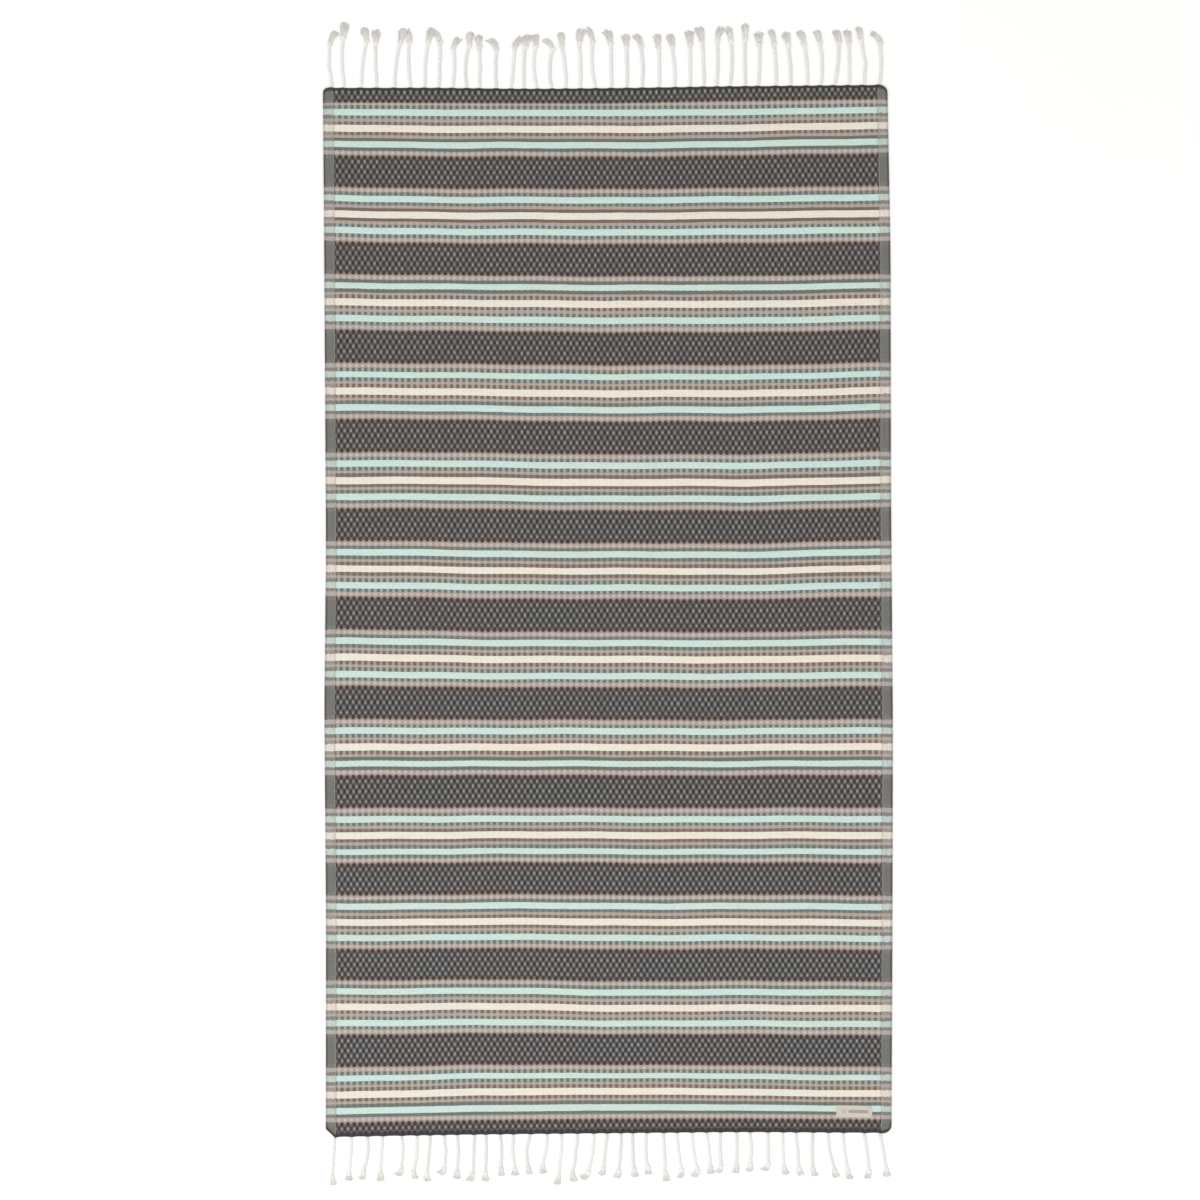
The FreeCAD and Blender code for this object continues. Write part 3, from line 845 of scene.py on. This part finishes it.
def make_cloth(material):
    """The whole woven cloth as one closed sheet, its pattern raised on top and faint below."""
    rows = weave_rows()
    columns = np.arange(-184, 185) * COLUMN
    s, u = np.meshgrid(rows, columns, indexing="ij")
    x, y = place(u, s)
    height, cover = relief(u, s)
    base = lift(x, y)
    near_side = smooth(np.abs(u), 474, SHEET_HALF_WIDTH)
    last_row = (s <= WEAVE_START) | (s >= WEAVE_END)
    top = base + CLOTH_TOP + height - 0.5 * near_side
    top = np.where(last_row, base + 1.35, top)
    ends = end_distance(y)
    woven = woven_s(u, s)
    is_below = np.zeros_like(u)
    coarse = (slice(None, None, 2), slice(None, None, 2))
    below = base + 0.25 * (1 - cover.clip(0)) * (1 - near_side)
    below = np.where(last_row, base + 0.55, below)[coarse]
    points = [joined(x, y, top), joined(x[coarse], y[coarse], below)]
    weave = [joined(u, woven, is_below), joined(u[coarse], woven[coarse], is_below[coarse] + 1)]

    top_count = u.size
    low_rows, low_columns = below.shape
    faces = list(grid_faces(len(rows), len(columns), flip=True))
    faces += list(grid_faces(low_rows, low_columns) + top_count)
    upper = rim(len(rows), len(columns))
    lower = [index + top_count for index in rim(low_rows, low_columns)]
    for k, low in enumerate(lower):
        following = lower[(k + 1) % len(lower)]
        over = [upper[(2 * k + step) % len(upper)] for step in range(3)]
        faces.append([following, low] + over)
    end = np.concatenate([ends.ravel(), ends[coarse].ravel()])
    attributes = {"weave": np.concatenate(weave), "end": end}
    return mesh_object("woven_cloth", np.concatenate(points), faces, material, attributes)


# The hem's cross-section, inner edge first: (distance from the middle of the mat, height).
HEM_PROFILE = [
    (462.0, 2.05), (462.1, 2.75), (463.0, 3.02), (463.6, 2.95), (464.6, 3.12), (467.5, 3.25),
    (471.0, 3.2), (474.5, 3.22), (477.5, 3.1), (479.3, 2.7), (480.1, 2.0), (480.2, 1.2),
    (479.8, 0.5), (479.1, 0.15), (478.7, 0.9), (478.6, 1.5), (476.0, 1.95), (469.0, 2.05),
]


def make_hem(name, sign, material):
    """A side edge turned up and over, drawn in a little at every stitch."""
    rows = weave_rows()
    profile = np.array(HEM_PROFILE)
    u = np.broadcast_to(sign * profile[:, 0], (len(rows), len(profile)))
    s = np.broadcast_to(rows[:, None], u.shape)
    rng = np.random.default_rng(SEED + sign)
    wobble = np.interp(rows, np.linspace(WEAVE_START, WEAVE_END, 240), rng.normal(0, 0.3, 240))
    inner = 1 - smooth(np.abs(u), 462, 468)
    pucker = 0.12 * np.cos(2 * math.pi * s / 12.4)
    x, y = place(u, s)
    x = x + sign * wobble[:, None] * inner
    distance, _, _ = dark_distance(s)
    plump = 0.1 * np.cos(2 * math.pi * distance / 12.5)
    crown = np.clip(profile[:, 1] - 2.4, 0, 1)
    z = lift(x, y) + profile[:, 1] + (pucker + plump) * crown
    faces = sleeve_faces(len(rows), len(profile))
    if sign > 0:
        faces = [face[::-1] for face in faces]
    weave = joined(u, woven_s(u, s), np.zeros_like(u))
    attributes = {"weave": weave, "end": end_distance(y).ravel()}
    return mesh_object(name, joined(x, y, z), faces, material, attributes)


def add_stitch(pile, start, end, height, rng):
    """One stitch from start to end: out of the cloth, along it and back in."""
    shares = np.array([0, 0.08, 0.25, 0.5, 0.75, 0.92, 1])
    rises = np.array([-0.7, -0.1, 0.12, 0.2, 0.12, -0.1, -0.7])
    path = start + (end - start) * shares[:, None]
    heights = height + lift(*((start + end) / 2)) + rises
    pile.add(np.column_stack([path, heights]), THREAD_RADIUS, 6, rng.uniform(0, 1))


def make_hem_stitching(name, sign, material):
    """The row of stitches that holds a side hem."""
    pile = Pile()
    rng = np.random.default_rng(SEED + 4 + sign)
    for k in range(int((CLOTH_LENGTH - 8) / HEM_STITCH_PITCH)):
        s = 3 + k * HEM_STITCH_PITCH
        u = sign * SEAM + rng.normal(0, 0.12)
        start, end = np.stack(place([u, u], [s, s + HEM_STITCH_LENGTH]), -1)
        add_stitch(pile, start, end, HEM_STITCH_HEIGHT, rng)
    return pile.make(name, material)


# ---- the label


def label_frame():
    """The label's middle and half sizes in millimetres, from the CAD node."""
    low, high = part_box("woven_label")
    centre = (np.array(low) + np.array(high)) / 2 / MM
    half = (np.array(high) - np.array(low)) / 2 / MM
    return centre, half


def label_place(along_, across):
    """A label point in its own axes, set down on the cloth at its slight tilt."""
    centre, _ = label_frame()
    x = centre[0] + along_ * math.cos(LABEL_TILT) - across * math.sin(LABEL_TILT)
    y = centre[1] + along_ * math.sin(LABEL_TILT) + across * math.cos(LABEL_TILT)
    return x, y


def make_label(material):
    """A small tape sewn down along its edges, so that its middle stands a little proud."""
    _, half = label_frame()
    a, b = np.meshgrid(np.linspace(-1, 1, 73), np.linspace(-1, 1, 29))
    a, b = a * half[0], b * half[1]
    x, y = label_place(a, b)
    from_edge = np.minimum(half[0] - np.abs(a), half[1] - np.abs(b))
    seam = np.exp(-(((from_edge - LABEL_INSET) / 0.7) ** 2))
    puff = 0.35 * smooth(from_edge, LABEL_INSET, 5) + 0.06 * np.sin(a / 3.1) * np.cos(b / 2.3)
    height = lift(x, y) + CLOTH_TOP + 0.75 + puff - 0.22 * seam
    height = height - 0.2 * (from_edge < 0.2)
    under = lift(x, y) + CLOTH_TOP + 0.1
    rows, columns = a.shape
    points = np.concatenate([joined(x, y, height), joined(x, y, under)])
    faces = list(grid_faces(rows, columns))
    faces += list(grid_faces(rows, columns, flip=True) + a.size)
    edge = rim(rows, columns)
    for first, second in zip(edge, edge[1:] + edge[:1]):
        faces.append([first, first + a.size, second + a.size, second])
    weave = joined(a, b, np.zeros_like(a))
    return mesh_object("label", points, faces, material, {"weave": np.concatenate([weave, weave])})


def make_label_stitching(material):
    """Stitches round the label, just inside its edge."""
    _, half = label_frame()
    pile = Pile()
    rng = np.random.default_rng(SEED + 9)
    corners = [(-1, -1), (1, -1), (1, 1), (-1, 1)]
    ends = [(half[:2] - LABEL_INSET) * corner for corner in np.array(corners)]
    for start, end in zip(ends, ends[1:] + ends[:1]):
        run = np.linalg.norm(end - start)
        count = max(3, int(round(run / LABEL_STITCH_PITCH)))
        for k in range(count):
            first = np.array(label_place(*(start + (end - start) * (k + 0.1) / count)))
            second = np.array(label_place(*(start + (end - start) * (k + 0.9) / count)))
            add_stitch(pile, first, second, LABEL_STITCH_HEIGHT, rng)
    return pile.make("label_thread", material)


# ---- the fringe


def cord_line(tassel, direction, knot_reach, edge, rng):
    """The middle line of a tassel's cord, from inside the cloth's edge to its knot."""
    root_x, bow, lean, _, _ = tassel
    t = np.linspace(0, 1, 64)
    x = root_x + lean * t**1.2 + bow * np.sin(math.pi * t)
    for waves, amount in ((3, 0.25), (5, 0.2)):
        x = x + rng.normal(0, amount) * np.sin(waves * math.pi * t)
    outwards = -ROOT_INSIDE + (knot_reach + ROOT_INSIDE) * t
    out_of_cloth = smooth(outwards, 0, 5)
    z = CORD_RADIUS + 0.1 + 0.2 * np.sin(math.pi * t * 2 + rng.uniform(0, 6)) ** 2
    z = 0.9 + (z - 0.9) * out_of_cloth
    return np.column_stack([x, edge + direction * outwards, z]), out_of_cloth


def add_cord(pile, line, out_of_cloth, rng):
    """Two plies twisted round each other along the cord's line, thin at the cloth's edge."""
    side, up = side_and_up(line)
    run = np.concatenate(([0], np.cumsum(np.linalg.norm(np.diff(line, axis=0), axis=1))))
    twist = rng.uniform(8.0, 9.5)
    start = rng.uniform(0, 2 * math.pi)
    full = 0.45 + 0.55 * out_of_cloth
    for ply in range(2):
        angle = start + ply * math.pi + run * 2 * math.pi / twist
        swing = np.cos(angle)[:, None] * side + np.sin(angle)[:, None] * up
        path = line + (CORD_RADIUS - PLY_RADIUS) * swing * full[:, None] ** 2
        pile.add(path, PLY_RADIUS * full, 6, rng.uniform(0, 1))


def add_knot(pile, centre, heading, size, rng):
    """An overhand knot: the cord wound through itself in three lobes and pulled tight."""
    t = np.linspace(0, 2 * math.pi, 43)
    spin = rng.uniform(0, 2 * math.pi)
    a = np.sin(t) + 2 * np.sin(2 * t)
    b = np.cos(t) - 2 * np.cos(2 * t)
    c = -np.sin(3 * t)
    across = np.array([-heading[1], heading[0]])
    turned = (a * math.cos(spin) - b * math.sin(spin), a * math.sin(spin) + b * math.cos(spin))
    scale = size / 3
    xy = turned[0][:, None] * heading * 1.1 + turned[1][:, None] * across * 0.95
    xy = centre[:2] + scale * xy
    z = centre[2] + scale * 1.15 * c
    pile.add(np.column_stack([xy, z]), KNOT_CORD_RADIUS, 7, rng.uniform(0, 1))
    core = centre + np.array([[-1.6, 0, 0], [-0.8, 0, 0], [0.8, 0, 0], [1.6, 0, 0]])
    pile.add(core, np.array([0.8, 1.9, 1.9, 0.8]), 8, rng.uniform(0, 1))


def add_brush(pile, start, tip, width, curl, rng):
    """The loose threads past the knot, fanning out and curling to one side."""
    heading = (tip - start)[:2]
    length = np.linalg.norm(heading)
    heading = heading / length
    across = np.array([-heading[1], heading[0]])
    t = np.linspace(0, 1, 9)
    for k in range(BRUSH_THREADS):
        share = (k + rng.uniform(0.1, 0.9)) / BRUSH_THREADS * 2 - 1
        reach = length * (1 - 0.16 * share**2) * rng.uniform(0.84, 1.04)
        spread = share * width / 2 * (0.25 + 0.75 * t**0.8)
        wave = rng.normal(0, 0.45) * np.sin(math.pi * t * rng.uniform(1.2, 2.6))
        bend = curl * t**2 * rng.uniform(0.7, 1.3)
        xy = start[:2] + heading * (reach * t)[:, None] + across * (spread + wave + bend)[:, None]
        top = 2.6 * rng.uniform(0.3, 1.0)
        z = 0.6 + (1.4 - 0.2 * abs(share)) * (1 - t) + top * np.sin(math.pi * t) * 0.6
        radii = 0.62 * (1 - 0.35 * t) * rng.uniform(0.85, 1.15)
        pile.add(np.column_stack([xy, z]), radii, 4, rng.uniform(0.6, 1.5))


def add_tassel(pile, tassel, row, rng):
    """One tassel: its cord, its knot and its brush."""
    root_x, bow, lean, hook, reach = tassel
    direction = row["direction"]
    edge = float(along(row["line"], root_x))
    knot_reach = reach * row["knot"]
    line, out_of_cloth = cord_line(tassel, direction, knot_reach, edge, rng)
    add_cord(pile, line, out_of_cloth, rng)
    knot = np.array([root_x + lean, edge + direction * knot_reach, KNOT_HEIGHT])
    heading = (line[-1] - line[-4])[:2]
    heading = heading / np.linalg.norm(heading)
    is_front = direction < 0
    add_knot(pile, knot, heading, 3.3 if is_front else 3.6, rng)
    start = np.array([knot[0], knot[1] + direction * 1.5, 2.0])
    tip = np.array([knot[0] + hook * 0.8, edge + direction * (reach + 1.5), 1.0])
    width = rng.uniform(12, 15) if is_front else rng.uniform(12, 18)
    curl = -direction * hook * 0.75 + rng.normal(0, 1.0)
    add_brush(pile, start, tip, width, curl, rng)


def fringe_groups(row_name, tassels):
    """The row's tassels, shared out between its pieces by whole CAD nodes."""
    groups = [[] for _ in range(PIECES_PER_ROW)]
    for node in range(NODES_PER_ROW):
        groups[min(node // 2, PIECES_PER_ROW - 1)].append(node)
    for nodes in groups:
        names = [f"{row_name}_tassels_{node + 1:02d}" for node in nodes]
        members = [tassel for node in nodes for tassel in tassels[2 * node : 2 * node + 2]]
        yield names, members


def make_fringe(row_name, material):
    """All the pieces of one row of tassels."""
    row = ROWS_OF_TASSELS[row_name]
    pieces = []
    for number, (nodes, members) in enumerate(fringe_groups(row_name, row["tassels"]), 1):
        pile = Pile()
        for tassel in members:
            rng = np.random.default_rng(SEED + abs(int(tassel[0])) * 7 + tassel[4])
            add_tassel(pile, tassel, row, rng)
        piece = pile.make(f"{row_name}_fringe_{number:02d}", material)
        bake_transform(piece)
        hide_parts(*nodes)
        pieces.append(piece)
    return pieces


# ---- the studio


def make_floor():
    """A plain pale floor: one wide, flat disc just under the mat."""
    turns = np.linspace(0, 2 * math.pi, FLOOR_SIDES, endpoint=False)
    ring = np.stack([np.cos(turns), np.sin(turns), np.zeros(FLOOR_SIDES)], -1) * FLOOR_RADIUS
    points = ring + np.array([0, 0, FLOOR_HEIGHT])
    floor = mesh_object("floor", points, [list(range(FLOOR_SIDES))], floor_material())


def make_camera():
    """Straight above the mat, at the distance that frames it as photographed."""
    data = bpy.data.cameras.new("camera")
    data.lens = 85
    data.sensor_width = 36
    camera = bpy.data.objects.new("camera", data)
    camera.location = CAMERA_PLACE
    bpy.context.scene.collection.objects.link(camera)
    bpy.context.scene.camera = camera


def make_light(name, location, size, power):
    """A square area light that faces the middle of the mat."""
    data = bpy.data.lights.new(name, "AREA")
    data.shape = "SQUARE"
    data.size = size
    data.energy = power
    light = bpy.data.objects.new(name, data)
    light.location = location
    light.rotation_euler = (-Vector(location)).to_track_quat("-Z", "Y").to_euler()
    bpy.context.scene.collection.objects.link(light)


def make_studio():
    """Soft light from everywhere, a little stronger from the front left, on a white ground."""
    world = bpy.data.worlds.new("studio")
    world.use_nodes = True
    sky = world.node_tree.nodes["Background"].inputs
    sky["Color"].default_value = (1.0, 0.995, 0.985, 1)
    sky["Strength"].default_value = WORLD_STRENGTH
    bpy.context.scene.world = world
    for settings in LIGHTS:
        make_light(*settings)
    bpy.context.scene.view_settings.view_transform = "Standard"
    bpy.context.scene.view_settings.look = "None"
    make_floor()


# ---- build

make_camera()
make_studio()

THREAD = yarn_material("sewing_thread", (182, 177, 170), (158, 153, 146), 0.00015, 0.1)
LABEL_THREAD = yarn_material("label_thread", (236, 230, 218), (206, 198, 184), 0.0001, 0.1)
FRINGE = yarn_material("fringe_cotton", (240, 238, 235), (218, 215, 210), 0.0002, 0.2)

cloth = make_cloth(cloth_material())
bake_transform(cloth)
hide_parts("woven_panel_front", "woven_panel_back")

going_with_cloth = []
hem_cotton = hem_material()
for side_name, side_sign in (("left", -1), ("right", 1)):
    hem = make_hem(f"hem_{side_name}", side_sign, hem_cotton)
    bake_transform(hem)
    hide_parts(f"side_hem_{side_name}_front", f"side_hem_{side_name}_back")
    seam = make_hem_stitching(f"hem_thread_{side_name}", side_sign, THREAD)
    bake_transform(seam)
    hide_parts(f"hem_stitching_{side_name}_front", f"hem_stitching_{side_name}_back")
    going_with_cloth += [hem, seam]

label = make_label(label_material())
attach(label, "front_half")
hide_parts("woven_label")
label_seam = make_label_stitching(LABEL_THREAD)
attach(label_seam, "front_half")
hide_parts("label_stitching")
going_with_cloth += [label, label_seam]

for row_title in ROWS_OF_TASSELS:
    going_with_cloth += make_fringe(row_title, FRINGE)

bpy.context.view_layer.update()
